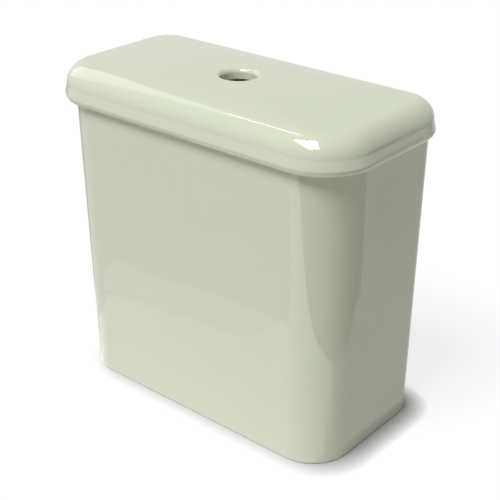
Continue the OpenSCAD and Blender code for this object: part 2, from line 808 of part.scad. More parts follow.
// Coil spring as one tube, six sides and eight rings to a turn
module plunger_spring() {
    sides = 6;
    turn_rings = 8;
    wire_r = spring_wire / 2;
    coil_r = guide_r - guide_wall - slide_gap - wire_r;
    z0 = deck_top + slide_gap + wire_r;
    z1 = cap_in_z - slide_gap - wire_r;
    last = spring_turns * turn_rings;
    rise = (z1 - z0) / (360 * spring_turns);
    lead = atan(rise * 180 / PI / coil_r);
    function centre(k) =
        let (a = 360 * k / turn_rings) [coil_r * cos(a), coil_r * sin(a), z0 + rise * a];
    function around(k, s) =
        let (a = 360 * k / turn_rings, b = 360 * s / sides)
        centre(k) + wire_r * (
            cos(b) * [cos(a), sin(a), 0]
            + sin(b) * [sin(lead) * sin(a), -sin(lead) * cos(a), cos(lead)]
        );
    walls = [
        for (k = [0:last - 1], s = [0:sides - 1], half = [0, 1])
            let (t = (s + 1) % sides, p = k * sides, q = p + sides)
            half == 0 ? [p + s, p + t, q + t] : [p + s, q + t, q + s]
    ];
    ends = [
        for (s = [1:sides - 2], half = [0, 1])
            let (p = last * sides) half == 0 ? [0, s + 1, s] : [p, p + s, p + s + 1]
    ];
    gaps = [
        for (i = [0:last], j = [i + turn_rings - 1:1:last]) norm(centre(i) - centre(j)) - spring_wire
    ];
    echo(spring_least_gap = min(gaps));
    color(steel)
    polyhedron(
        points = [for (k = [0:last], s = [0:sides - 1]) around(k, s)],
        faces = concat(walls, ends)
    );
}

module inlet_shank() {
    bore = inlet_bore / 2;
    color(white_plastic)
    at_inlet() rotate_extrude() polygon([
        [bore, tail_foot], [shank_r - shank_chamfer, tail_foot], [shank_r, tail_foot + shank_chamfer],
        [shank_r, shank_nut_z], [shank_root_r, shank_nut_z],
        [shank_root_r, shank_flange_z], [shank_flange_r, shank_flange_z], [shank_flange_r, shank_top],
        [inner_tube_r, shank_top], [inner_tube_r, head_z - inner_tube_drop],
        [bore, head_z - inner_tube_drop]
    ]);
}

module shank_washer() {
    color(black_rubber)
    at_inlet() tube(shank_root_r + fit_gap, shank_flange_r, floor_z, shank_flange_z);
}

module nut_washer() {
    color(black_rubber)
    at_inlet() tube(shank_root_r + fit_gap, fill_nut_af / 2, recess_h - nut_washer_t, recess_h);
}

module shank_backnut() {
    color(white_plastic)
    at_inlet() nut(fill_nut_af, shank_root_r + fit_gap, shank_nut_z, fill_nut_t);
}

module inlet_filter() {
    outer = inlet_bore / 2 - fit_gap;
    top = tail_foot + filter_h;
    color(blue_plastic)
    at_inlet() difference() {
        translate([0, 0, tail_foot]) cylinder(r = outer, h = filter_h);
        translate([0, 0, tail_foot - cut])
            cylinder(r = outer - filter_wall, h = top - filter_wall - tail_foot + cut);
    }
}

module lock_ring() {
    color(blue_plastic) at_inlet() tube(riser_bore_r, shank_flange_r - fit_gap, shank_top, riser_z);
}

module riser_sleeve() {
    color(white_plastic)
    at_inlet() difference() {
        union() {
            tube(riser_bore_r, riser_r, riser_z, head_z);
            tube(riser_bore_r, riser_r + stop_w, float_z - stop_t, float_z);
        }
        for (k = [0:1]) rotate(90 * k)
            translate([-riser_d, -outlet_slot_w / 2, riser_z - cut])
                cube([2 * riser_d, outlet_slot_w, outlet_slot_h + cut]);
    }
}

module fill_body() {
    color(white_plastic)
    at_inlet() difference() {
        union() {
            translate([0, 0, head_z - skirt_h])
                cylinder(r = riser_r + fit_gap + skirt_t, h = skirt_h + head_h / 2);
            translate([0, 0, head_z]) cylinder(r = head_r, h = head_h);
        }
        translate([0, 0, head_z - skirt_h - cut]) cylinder(r = riser_r + fit_gap, h = skirt_h + cut);
        translate([0, 0, head_z - cut]) cylinder(d = inlet_bore, h = head_h);
        translate([0, 0, chamber_z]) cylinder(d = chamber_d, h = chamber_h + cut);
    }
}

module diaphragm() {
    color(black_rubber)
    at_inlet() translate([0, 0, chamber_z])
        cylinder(r = chamber_d / 2 - fit_gap, h = diaphragm_t);
}

module fill_cap() {
    ear_w = 2 * (arm_ear_r - web_inset);
    color(blue_plastic)
    difference() {
        union() {
            at_inlet() translate([0, 0, cap_z]) cylinder(r = head_r, h = cap_h);
            for (side = [-1, 1])
                translate([arm_x, side * (arm_ear_y + arm_ear_t / 2), arm_z]) {
                    cross_bar(arm_ear_r, arm_ear_t);
                    translate([-ear_w / 2, -arm_ear_t / 2, -arm_rise - cap_h / 2])
                        cube([ear_w, arm_ear_t, arm_rise + cap_h / 2]);
                }
        }
        at_inlet() translate([0, 0, cap_z - cut])
            cylinder(r = valve_pin_r + run_gap, h = cap_h + 2 * cut);
        translate([arm_x, 0, arm_z]) cross_bar(arm_pin_r + fit_gap, head_d);
    }
}

module valve_pin() {
    color(steel)
    at_inlet() translate([0, 0, valve_pin_z]) cylinder(r = valve_pin_r, h = valve_pin_top - valve_pin_z);
}

module float_arm() {
    end = arm_out + slot_half + slot_end;
    color(grey_plastic)
    translate([arm_x, 0, arm_z]) rotate([0, arm_swing, 0])
    difference() {
        union() {
            cross_bar(arm_boss_r, arm_w);
            translate([-arm_in, 0, 0]) cross_bar(arm_tip_r, arm_w);
            translate([-arm_in, -arm_w / 2, web_inset - arm_t / 2])
                cube([arm_in, arm_w, arm_t - 2 * web_inset]);
            translate([0, -arm_w / 2, -arm_t / 2]) cube([end, arm_w, arm_t]);
        }
        cross_bar(arm_pin_r + run_gap, arm_w + 2 * cut);
        translate([arm_out - slot_half, -rod_r - slide_gap, -arm_t])
            cube([2 * slot_half, rod_d + 2 * slide_gap, 2 * arm_t]);
    }
}

module arm_pin() {
    color(steel)
    translate([arm_x, 0, arm_z]) cross_bar(arm_pin_r, 2 * (arm_ear_y + arm_ear_t + push_gap));
}

module float_cup() {
    hub_r = float_bore_r + float_wall;
    lug_end = rod_off + lug_w / 2;
    color(grey_plastic)
    at_inlet() difference() {
        union() {
            rotate_extrude() polygon([
                [float_bore_r, float_z], [hub_r, float_z], [hub_r, float_top - float_wall],
                [float_r - float_wall, float_top - float_wall], [float_r - float_wall, float_z],
                [float_r, float_z], [float_r, float_top], [float_bore_r, float_top]
            ]);
            translate([float_r - float_wall / 2, -lug_w / 2, float_top - lug_h])
                cube([lug_end - float_r + float_wall / 2, lug_w, lug_h]);
        }
        translate([rod_off, 0, float_top - lug_h - cut]) cylinder(r = rod_r + fit_gap, h = lug_h + 2 * cut);
    }
}

module float_link() {
    bottom = float_top - rod_tail;
    top = link_end_z + link_nut_gap + 2 * link_nut_t;
    color(steel) translate([rod_x, 0, bottom]) cylinder(r = rod_r, h = top - bottom);
}

module link_nuts() {
    color(steel)
    for (z = [link_end_z - link_nut_gap - link_nut_t, link_end_z + link_nut_gap])
        translate([rod_x, 0, 0]) nut(link_nut_af, rod_r + fit_gap, z, link_nut_t);
}

module link_clip() {
    color(blue_plastic)
    difference() {
        translate([rod_x - lug_w / 2, -lug_w / 2, float_top]) cube([lug_w, lug_w, lug_h]);
        translate([rod_x, 0, float_top - cut]) cylinder(r = rod_r + fit_gap, h = lug_h + 2 * cut);
    }
}

cistern_body();
cistern_lid();
flush_base();
flush_washer();
flush_backnut();
flush_cage();
flush_tower();
overflow_tube();
flush_seal();
seal_retainer();
core_float();
lift_stem();
valve_head();
rocker_left();
rocker_right();
rocker_pins();
flush_plunger();
plunger_spring();
inlet_shank();
shank_washer();
nut_washer();
shank_backnut();
inlet_filter();
lock_ring();
riser_sleeve();
fill_body();
fill_cap();
diaphragm();
valve_pin();
float_arm();
arm_pin();
float_cup();
float_link();
link_nuts();
link_clip();
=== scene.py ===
"""Looks of a close-coupled toilet cistern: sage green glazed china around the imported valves."""

import json
import math

import bmesh
import bpy
from mathutils import Euler, Matrix, Vector


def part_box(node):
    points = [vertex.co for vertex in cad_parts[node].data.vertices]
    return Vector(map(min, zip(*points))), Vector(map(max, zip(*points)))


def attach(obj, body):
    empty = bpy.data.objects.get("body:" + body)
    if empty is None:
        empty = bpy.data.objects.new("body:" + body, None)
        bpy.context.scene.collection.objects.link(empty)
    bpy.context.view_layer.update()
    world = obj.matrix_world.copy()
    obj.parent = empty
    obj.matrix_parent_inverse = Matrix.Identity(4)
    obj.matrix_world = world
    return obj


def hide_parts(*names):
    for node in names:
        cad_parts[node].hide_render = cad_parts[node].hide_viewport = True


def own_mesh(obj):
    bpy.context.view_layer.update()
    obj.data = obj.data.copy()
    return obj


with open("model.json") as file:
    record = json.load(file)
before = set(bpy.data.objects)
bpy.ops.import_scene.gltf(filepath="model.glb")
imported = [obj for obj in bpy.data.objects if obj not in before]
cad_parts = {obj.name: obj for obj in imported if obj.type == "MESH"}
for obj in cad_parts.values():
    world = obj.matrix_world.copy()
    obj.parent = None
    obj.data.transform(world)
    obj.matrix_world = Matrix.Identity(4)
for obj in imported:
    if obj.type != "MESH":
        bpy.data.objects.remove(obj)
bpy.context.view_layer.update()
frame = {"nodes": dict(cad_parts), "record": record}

bl_info = {
    "name": "China Cistern",
    "version": (1, 0, 0),
    "blender": (4, 5, 0),
    "location": "View3D > Sidebar > Cistern",
    "description": "Builds a glazed china cistern around its packed valves",
    "category": "Object",
}

MM = 0.001
WHITE = (1.0, 1.0, 1.0, 1.0)

# Distances below which two points count as one: on a line, and in welds of fine, packed and china meshes
SAME = 1e-7
FINE_WELD = 1e-7
WELD = 1e-6
CHINA_WELD = 1e-5
# Slope of a flat between two rings, which tells the bridge between them which way it runs
HAIR = 0.02 * MM

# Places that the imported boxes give
TANK_LOW, TANK_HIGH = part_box("cistern_body")
LID_LOW, LID_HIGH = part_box("cistern_lid")
TAIL_LOW, TAIL_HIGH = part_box("flush_base")
SHANK_LOW, SHANK_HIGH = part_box("inlet_shank")
SPRING_LOW, SPRING_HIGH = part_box("plunger_spring")
RIM_Z = TANK_HIGH.z
CROWN_Z = LID_HIGH.z
INLET_X = (SHANK_LOW.x + SHANK_HIGH.x) / 2

# Fineness of the china's rings
CORNER_SEGMENTS = 16
SIDE_CUTS = 6
WALL_RINGS = 8
DOME_RINGS = 14
TURN_STEPS = 48
SHARP = math.radians(35)
FLAT = math.radians(1)
# Share of a half width that a ring's corners take where it is as good as a circle
ALMOST_ROUND = 0.9999
# Least corner radius of a ring of the tank
LEAST_CORNER = 3 * MM

# Thread: how deep its foot sinks into the tail, and the half widths of foot and crest as shares of the pitch
THREAD_SINK = 0.2 * MM
THREAD_FOOT = 0.45
THREAD_CREST = 0.12

# Spring: open turns, and the rise of a closed turn as a multiple of the wire's radius
OPEN_TURNS = 6
CLOSED_RISE = 2.04

# Camera, from the photo's outline
CAMERA_PLACE = (0.7125, -0.8215, 0.7106)
CAMERA_DROP = 26.51
CAMERA_TURN = 40.335
SENSOR = 36.0
IMAGE_PIXELS = 500
FOCAL_PIXELS = 1120.4

# Paper floor: its half width, its colour where it lights and where it is seen, its glow where it is seen, and
# the reach, the depth, the open side and the samples of the shadow close around the foot
FLOOR_REACH = 6.0
PAPER = (0.6, 0.6, 0.6, 1.0)
PAPER_SEEN = (0.2, 0.2, 0.2, 1.0)
PAPER_LIFT = 0.81
SHADOW_REACH = 0.028
SHADOW_DEPTH = 2.0
SHADOW_LEAN = (-0.5, -0.5, 0.7)
SHADOW_SAMPLES = 8

# Sky: its strength and tint where it lights, and its strength where it is seen
SKY_LIGHT = 0.215
SKY_TINT = (0.94, 1.0, 0.89, 1.0)
SKY_SEEN = 0.9

# Lamps: name, turn from the front, height and spread in degrees, and how bright white card facing it gets
LAMPS = (
    ("key", -6.0, 59.0, 24.0, 0.945),
)

# Cards on the floor that show in the glaze: name, height, corners and strength
FLOOR_CARDS = (
    ("bright paper", 0.001, (
        (-0.26, -0.198), (-0.227, -0.205), (-0.132, -0.217), (-0.048, -0.225), (-0.03, -0.287),
        (0.036, -0.319), (0.15, -0.36), (0.259, -0.385), (0.296, -0.297), (0.332, -0.198),
        (0.346, -0.134), (0.349, -0.075), (0.17, -0.07), (-0.17, -0.07), (-0.26, -0.07),
    ), 1.75),
    ("dim paper", 0.001, (
        (-0.3, -0.198), (-0.32, -0.268), (-0.249, -0.266), (-0.141, -0.284), (-0.03, -0.287),
        (-0.048, -0.225), (-0.132, -0.217), (-0.227, -0.205),
    ), 1.4),
    ("corner paper", 0.001, (
        (0.036, -0.319), (-0.014, -0.437), (-0.056, -0.536), (-0.2, -0.9), (0.03, -0.9), (0.115, -0.746),
        (0.172, -0.639), (0.213, -0.528), (0.259, -0.385), (0.15, -0.36),
    ), 1.7),
    ("corner flag", 0.002, (
        (-0.34, -1.6), (0.115, -0.746), (0.172, -0.639), (0.213, -0.528), (0.259, -0.385), (0.296, -0.297),
        (0.332, -0.198), (0.346, -0.134), (0.349, -0.075), (0.361, -0.018), (0.358, 0.049), (0.337, 0.143),
        (0.355, 0.24), (0.43, 0.35), (0.495, 0.445), (1.6, 2.0), (1.6, -1.6),
    ), 0.3),
    ("right flag", 0.001, ((0.185, -0.05), (0.635, -0.05), (0.635, 1.2), (0.185, 1.2)), 0.8),
    ("left flag", 0.001, ((-0.3, 0.0), (-0.3, 1.2), (-2.5, 2.4), (-2.5, 0.0)), 0.5),
    ("far paper", 0.001, ((0.635, 0.68), (1.6, 2.05), (1.6, 2.8), (0.635, 2.8)), 0.55),
)

# Cards far off that show in the glaze: name, corners and strength
FAR_CARDS = (
    ("soft box", ((-5.0, 0.67, 7.5), (-5.0, 3.4, 4.1), (-5.0, 0.67, 0.5), (-5.0, -2.83, 4.1)), 2.1),
    ("strip", ((-5.0, 1.1, 6.6), (-5.0, 0.45, 6.6), (-5.0, 0.3, 12.0), (-5.0, 0.8, 12.0)), 9.0),
    ("left pane", (
        (-2.41, -2.21, 4.36), (-0.81, -1.49, 4.36), (1.85, -5.28, 4.36), (1.09, -6.75, 4.36),
    ), 16.0),
    ("right pane", (
        (-0.69, -1.44, 4.36), (0.16, -1.02, 4.36), (2.58, -4.23, 4.36), (1.97, -5.18, 4.36),
    ), 16.0),
)


def linear(hex_colour):
    """Linear RGBA of an sRGB hex colour."""
    channels = [int(hex_colour[k:k + 2], 16) / 255 for k in (1, 3, 5)]
    return [c / 12.92 if c <= 0.04045 else ((c + 0.055) / 1.055) ** 2.4 for c in channels] + [1.0]


def length_property(name, description, millimetres):
    """A length that the user may change."""
    return bpy.props.FloatProperty(
        name=name, description=description, default=millimetres * MM, unit="LENGTH",
    )


def colour_property(name, description, hex_colour):
    """A colour that the user may change."""
    return bpy.props.FloatVectorProperty(
        name=name, description=description, default=linear(hex_colour), size=4, subtype="COLOR",
        min=0.0, max=1.0,
    )


class ChinaSizes(bpy.types.PropertyGroup):
    """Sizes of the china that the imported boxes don't give."""

    foot_side: length_property("Side taper", "How far the foot stands in from the rim at each side", 5)
    foot_front: length_property("Front taper", "How far the foot stands in from the rim at the front", 7)
    front_corner_rim: length_property(
        "Front corner at the rim", "Radius of the tank's front corners at the rim", 51,
    )
    front_corner_foot: length_property(
        "Front corner at the foot", "Radius of the tank's front corners at the foot", 45,
    )
    back_corner_rim: length_property(
        "Back corner at the rim", "Radius of the tank's back corners at the rim", 20,
    )
    back_corner_foot: length_property(
        "Back corner at the foot", "Radius of the tank's back corners at the foot", 24,
    )
    wall: length_property("Wall", "Thickness of the tank's wall", 9)
    recess: length_property("Recess", "Height of the recess under the tank's floor", 34)
    floor: length_property("Floor", "Thickness of the tank's floor", 12)
    foot_ring: length_property("Foot ring", "Width of the unglazed ring that the tank stands on", 14)
    edge: length_property("Edges", "Rounding of the rim and of the foot", 2)
    floor_fillet: length_property("Floor fillet", "Fillet between the floor and the wall, inside", 14)
    recess_fillet: length_property("Recess fillet", "Fillet of the recess under the floor", 7)
    lid_front_corner: length_property("Lid front corner", "Radius of the lid's front corners", 58)
    lid_back_corner: length_property("Lid back corner", "Radius of the lid's back corners", 40)
    lid_edge: length_property("Lid edge", "Radius of the lid's rounded top edge", 22)
    lid_lean: length_property("Lid lean", "Inward lean of the lid's side", 2)
    lip_height: length_property("Lip height", "Height of the lid's rounded lower lip", 7.5)
    lip_depth: length_property("Lip depth", "Depth of the lid's rounded lower lip", 5.7)
    crown: length_property("Crown", "Rise of the lid's top from its edge to its hole", 4.3)
    lid_thick: length_property("Lid thickness", "Thickness of the lid at its hole", 12)
    rib_gap: length_property("Rib gap", "Gap between the lid's locating rib and the tank's wall", 2)
    rib: length_property("Rib", "Thickness of the lid's locating rib", 5)
    hole: length_property("Button hole", "Radius of the push-button hole", 18.5)
    hole_edge: length_property("Hole edge", "Rounding of the hole's upper edge", 5)
    hole_under: length_property("Hole underside", "Rounding of the hole's lower edge", 1.5)
    hole_land: length_property("Hole land", "Flat width around the hole's upper edge", 3)
    tail_hole: length_property("Outlet hole", "Radius of the floor's hole for the outlet", 31.3)
    inlet_hole: length_property("Inlet hole", "Radius of the floor's hole for the inlet", 11.475)
    bolt_hole: length_property("Bolt hole", "Radius of the floor's bolt holes", 7)
    bolt_reach: length_property("Bolt reach", "Distance of the bolt holes from the middle", 80)
    screw_hole: length_property("Screw hole", "Radius of the back wall's screw holes", 4)
    screw_reach: length_property("Screw reach", "Distance of the screw holes from the middle", 110)
    screw_drop: length_property("Screw drop", "Drop of the screw holes below the rim", 45)


class ValveSizes(bpy.types.PropertyGroup):
    """Sizes of the threaded tails and of the spring."""

    tail: length_property("Outlet tail", "Radius of the outlet's thread", 29.8)
    tail_bore: length_property("Outlet bore", "Radius of the outlet's bore", 25)
    tail_pitch: length_property("Outlet pitch", "Pitch of the outlet's thread", 2.309)
    flange_low: length_property("Outlet flange", "Height of the outlet flange's underside", 49)
    flange: length_property("Outlet flange thickness", "Thickness of the outlet's flange", 4)
    seat: length_property("Seat", "Width of the seat's ring", 4)
    shank: length_property("Inlet tail", "Radius of the inlet's thread", 10.475)
    shank_bore: length_property("Inlet bore", "Radius of the inlet's bore", 5)
    shank_pitch: length_property("Inlet pitch", "Pitch of the inlet's thread", 1.814)
    shank_tube: length_property("Inlet tube", "Radius of the inlet's inner tube", 8.5)
    depth: length_property("Thread depth", "Depth of both threads", 0.6)
    wire: length_property("Wire", "Radius of the spring's wire", 0.7)
    edge: length_property("Moulded edges", "Rounding of the mouldings' edges", 0.5)


class Finishes(bpy.types.PropertyGroup):
    """Colours of the finishes."""

    glaze: colour_property("Glaze", "Colour of the glaze", "#CDD2BE")
    bisque: colour_property("Bisque", "Colour of the unglazed china", "#D9CFC0")
    white: colour_property("White plastic", "Colour of the white mouldings", "#E6E7E2")
    grey: colour_property("Grey plastic", "Colour of the grey mouldings", "#B4B2AC")
    blue: colour_property("Blue plastic", "Colour of the blue mouldings", "#5A82B4")
    rubber: colour_property("Rubber", "Colour of the washers", "#2B2B2D")
    silicone: colour_property("Silicone", "Colour of the seal", "#B5473C")
    steel: colour_property("Steel", "Colour of the pins, nuts and spring", "#B9BCC0")


def add_node(tree, kind, inputs=(), **settings):
    """Adds a node, with its settings, and sets or links its inputs."""
    node = tree.nodes.new(kind)
    for name, value in settings.items():
        setattr(node, name, value)
    for key, value in dict(inputs).items():
        if isinstance(value, bpy.types.NodeSocket):
            tree.links.new(value, node.inputs[key])
        else:
            node.inputs[key].default_value = value
    return node


def shade(colour, factor):
    """A lighter or darker colour."""
    return [min(c * factor, 1.0) for c in colour[:3]] + [1.0]


def new_finish(name):
    """An empty material and its node tree."""
    material = bpy.data.materials.new(name)
    material.use_nodes = True
    material.node_tree.nodes.clear()
    return material, material.node_tree


def finish(name, colour, patch, spread, roughness, grain, ior=1.5, metallic=0.0):
    """A material whose colour and roughness drift over patches, with a grain in its surface."""
    material, tree = new_finish(name)
    coords = add_node(tree, "ShaderNodeTexCoord").outputs["Object"]
    cloud = add_node(tree, "ShaderNodeTexNoise", {"Vector": coords, "Scale": 1 / patch, "Detail": 3.0})
    tint = add_node(
        tree, "ShaderNodeMix",
        {0: cloud.outputs["Fac"], 6: shade(colour, 1 - spread), 7: shade(colour, 1 + spread)},
        data_type="RGBA",
    )
    smear = add_node(tree, "ShaderNodeTexNoise", {"Vector": coords, "Scale": 3 / patch, "Detail": 2.0})
    polish = add_node(
        tree, "ShaderNodeMapRange",
        {0: smear.outputs["Fac"], 1: 0.3, 2: 0.7, 3: roughness[0], 4: roughness[1]},
    )
    width, depth = grain
    ripple = add_node(tree, "ShaderNodeTexNoise", {"Vector": coords, "Scale": 1 / width, "Detail": 2.0})
    relief = add_node(
        tree, "ShaderNodeBump", {"Height": ripple.outputs["Fac"], "Distance": depth, "Strength": 1.0},
    )
    shader = add_node(tree, "ShaderNodeBsdfPrincipled", {
        "Base Color": tint.outputs[2],
        "Roughness": polish.outputs[0],
        "Normal": relief.outputs["Normal"],
        "IOR": ior,
        "Metallic": metallic,
    })
    add_node(tree, "ShaderNodeOutputMaterial", {"Surface": shader.outputs["BSDF"]})
    return material


def finishes():
    """The finishes by name, made once."""
    colours = bpy.context.scene.cistern_finishes
    if "Sage glaze on vitreous china" not in bpy.data.materials:
        # Fired glaze: a glassy skin with sharp reflections, a faint ripple and hardly any drift of colour
        finish("Sage glaze on vitreous china", colours.glaze, 90 * MM, 0.012, (0.012, 0.025),
               (9 * MM, 0.006 * MM), ior=1.52)
        # Unglazed vitreous china: chalky, warm and slightly sandy
        finish("Unglazed vitreous china", colours.bisque, 35 * MM, 0.05, (0.75, 0.9),
               (0.8 * MM, 0.06 * MM))
        # Injection moulded polypropylene: waxy white with soft reflections and a fine moulded grain
        finish("Moulded white polypropylene", colours.white, 40 * MM, 0.02, (0.32, 0.42),
               (1.2 * MM, 0.012 * MM), ior=1.49)
        # Moulded acetal: dense grey with a dull sheen
        finish("Moulded grey acetal", colours.grey, 30 * MM, 0.03, (0.38, 0.5),
               (1.0 * MM, 0.015 * MM), ior=1.48)
        # Moulded ABS: tinted blue with a harder gloss
        finish("Moulded blue ABS", colours.blue, 30 * MM, 0.03, (0.24, 0.34),
               (1.4 * MM, 0.01 * MM), ior=1.54)
        # Moulded rubber: nearly black and dull, with a dusty bloom
        finish("Moulded black rubber", colours.rubber, 12 * MM, 0.25, (0.7, 0.85),
               (0.7 * MM, 0.03 * MM))
        # Cast silicone: soft red with a dull skin
        finish("Cast red silicone", colours.silicone, 15 * MM, 0.06, (0.5, 0.65),
               (0.9 * MM, 0.02 * MM), ior=1.41)
        # Drawn stainless steel: bright, with a fine grain that is coarser than real so that it shows
        finish("Drawn stainless steel", colours.steel, 6 * MM, 0.06, (0.22, 0.36), (0.5 * MM, 0.008 * MM),
               metallic=1.0)
    return bpy.data.materials


def steps(first, last, count):
    """Evenly spaced values from the first to the last."""
    return [first + (last - first) * k / count for k in range(count + 1)]


def mix(low, high, share):
    """Value between two values."""
    return low + (high - low) * share


def arc(inset, height, radius, start, end, count=6):
    """Points of a section's arc, as insets and heights, between two angles in degrees."""
    return [
        (inset + radius * math.cos(math.radians(a)), height + radius * math.sin(math.radians(a)))
        for a in steps(start, end, count)
    ]


def rounded_ring(bm, half_width, front, back, front_radius, back_radius, height):
    """Edges of a rounded rectangle that lies flat at a height."""
    ring = bmesh.new()
    spots = ((half_width, front), (half_width, back), (-half_width, back), (-half_width, front))
    ring.faces.new([ring.verts.new((x, y, height)) for x, y in spots])
    for radius, line in ((front_radius, front), (back_radius, back)):
        bmesh.ops.bevel(
            ring, geom=[v for v in ring.verts if abs(v.co.y - line) < SAME], offset=radius,
            offset_type="OFFSET", affect="VERTICES", segments=CORNER_SEGMENTS, profile=0.5, material=-1,
        )
    sides = [
        e for e in ring.edges
        if min(abs(e.verts[0].co.x - e.verts[1].co.x), abs(e.verts[0].co.y - e.verts[1].co.y)) < SAME
    ]
    bmesh.ops.subdivide_edges(ring, edges=sides, cuts=SIDE_CUTS)
    bmesh.ops.delete(ring, geom=ring.faces[:], context="FACES_ONLY")
    mesh = bpy.data.meshes.new("ring")
    ring.to_mesh(mesh)
    ring.free()
    first = len(bm.edges)
    bm.from_mesh(mesh)
    bpy.data.meshes.remove(mesh)
    bm.edges.ensure_lookup_table()
    return bm.edges[first:]


def tank_ring(bm, sizes, inset, height, level=None):
    """Ring of the tank's outline, drawn in by an inset, as wide as the tank is at a level."""
    share = (height if level is None else level) / RIM_Z
    return rounded_ring(
        bm,
        TANK_HIGH.x - mix(sizes.foot_side, 0, share) - inset,
        TANK_LOW.y + mix(sizes.foot_front, 0, share) + inset,
        TANK_HIGH.y - inset,
        max(mix(sizes.front_corner_foot, sizes.front_corner_rim, share) - inset, LEAST_CORNER),
        max(mix(sizes.back_corner_foot, sizes.back_corner_rim, share) - inset, LEAST_CORNER),
        height,
    )


def lid_ring(bm, sizes, inset, height, radius=0.0, share=0.0):
    """Ring of the lid's outline, drawn in by an inset and by a share towards a circle round the hole."""
    return rounded_ring(
        bm,
        mix(LID_HIGH.x - inset, radius, share),
        mix(LID_LOW.y + inset, -radius, share),
        mix(LID_HIGH.y - inset, radius, share),
        mix(sizes.lid_front_corner - inset, radius * ALMOST_ROUND, share),
        mix(sizes.lid_back_corner - inset, radius * ALMOST_ROUND, share),
        height,
    )


def hole_ring(bm, radius, height):
    """Circle around the button hole, with as many points as the other rings."""
    return rounded_ring(bm, radius, -radius, radius, radius * ALMOST_ROUND, radius * ALMOST_ROUND, height)


def skin(bm, rings, finish_indices):
    """Bridges rings in order, and each belt of faces gets the finish of the ring that it leads to."""
    for low, high, index in zip(rings, rings[1:], finish_indices[1:]):
        for face in bmesh.ops.bridge_loops(bm, edges=low + high)["faces"]:
            face.material_index = index


def to_object(bm, name, materials, weld=CHINA_WELD):
    """Object at the origin from a mesh, with smooth shading."""
    bmesh.ops.remove_doubles(bm, verts=bm.verts[:], dist=weld)
    bmesh.ops.recalc_face_normals(bm, faces=bm.faces[:])
    for face in bm.faces:
        face.smooth = True
    mesh = bpy.data.meshes.new(name)
    bm.to_mesh(mesh)
    bm.free()
    for material in materials:
        mesh.materials.append(material)
    piece = bpy.data.objects.new(name, mesh)
    bpy.context.scene.collection.objects.link(piece)
    return piece


def lathe(bm, profile, x=0.0, segments=96):
    """Turns a closed profile of radii and heights round an upright axis."""
    verts = [bm.verts.new((x + radius, 0, height)) for radius, height in profile]
    pairs = list(zip(verts, verts[1:])) + ([(verts[-1], verts[0])] if profile[0][0] else [])
    edges = [bm.edges.new(pair) for pair in pairs]
    bmesh.ops.spin(
        bm, geom=verts + edges, cent=(x, 0, 0), axis=(0, 0, 1), dvec=(0, 0, 0), angle=2 * math.pi,
        steps=segments, use_merge=True, use_duplicate=False,
    )


def soften(bm, width):
    """Rounds the sharp edges of a mesh."""
    bmesh.ops.remove_doubles(bm, verts=bm.verts[:], dist=WELD)
    bmesh.ops.recalc_face_normals(bm, faces=bm.faces[:])
    sharp = [e for e in bm.edges if len(e.link_faces) == 2 and e.calc_face_angle() > SHARP]
    bmesh.ops.bevel(
        bm, geom=sharp, offset=width, offset_type="OFFSET", affect="EDGES", segments=3, profile=0.5,
        material=-1, clamp_overlap=True,
    )


def thread(bm, x, root, crest, pitch, low, high):
    """Winds a helical ridge round an upright axis."""
    foot = root - THREAD_SINK
    spots = ((foot, -THREAD_FOOT), (crest, -THREAD_CREST), (crest, THREAD_CREST), (foot, THREAD_FOOT))
    verts = [bm.verts.new((x + radius, 0, low + pitch * (0.5 + share))) for radius, share in spots]
    face = bm.faces.new(verts)
    turns = math.floor((high - low) / pitch - 1)
    bmesh.ops.spin(
        bm, geom=verts + face.edges[:] + [face], cent=(x, 0, 0), axis=(0, 0, 1),
        dvec=(0, 0, pitch / TURN_STEPS), angle=2 * math.pi * turns, steps=TURN_STEPS * turns,
        use_merge=False, use_duplicate=False,
    )


def hole_cutter(bm, radius, low, high, lead, turn):
    """Adds a cutter for a hole whose edges are eased, upright and then turned into place."""
    part = bmesh.new()
    profile = [(0, low - lead), (radius + lead, low - lead)]
    profile += arc(radius + lead, low + lead, lead, 270, 180, 4)
    profile += arc(radius + lead, high - lead, lead, 180, 90, 4)
    profile += [(radius + lead, high + lead), (0, high + lead)]
    lathe(part, profile, segments=64)
    bmesh.ops.remove_doubles(part, verts=part.verts[:], dist=WELD)
    bmesh.ops.recalc_face_normals(part, faces=part.faces[:])
    bmesh.ops.transform(part, matrix=turn, verts=part.verts[:])
    for face in part.faces:
        face.material_index = 1
    mesh = bpy.data.meshes.new("cutter")
    part.to_mesh(mesh)
    part.free()
    bm.from_mesh(mesh)
    bpy.data.meshes.remove(mesh)


def cut_away(piece, cutter):
    """Cuts a piece with a cutter, which is then removed."""
    knife = piece.modifiers.new("holes", "BOOLEAN")
    knife.operation = "DIFFERENCE"
    knife.solver = "EXACT"
    knife.object = cutter
    ready = piece.evaluated_get(bpy.context.evaluated_depsgraph_get())
    solid = piece.data
    piece.data = bpy.data.meshes.new_from_object(ready)
    piece.modifiers.remove(knife)
    bpy.data.meshes.remove(solid)
    bpy.data.objects.remove(cutter)


def keep_flats(piece):
    """Shades flats flat beside rounded edges."""
    flats = piece.modifiers.new("flats", "WEIGHTED_NORMAL")
    flats.keep_sharp = True


def place(piece, body, slot, *nodes):
    """Hands a finished piece to its body and hides the nodes that it stands for; the slot is not used."""
    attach(piece, body)
    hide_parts(*nodes)


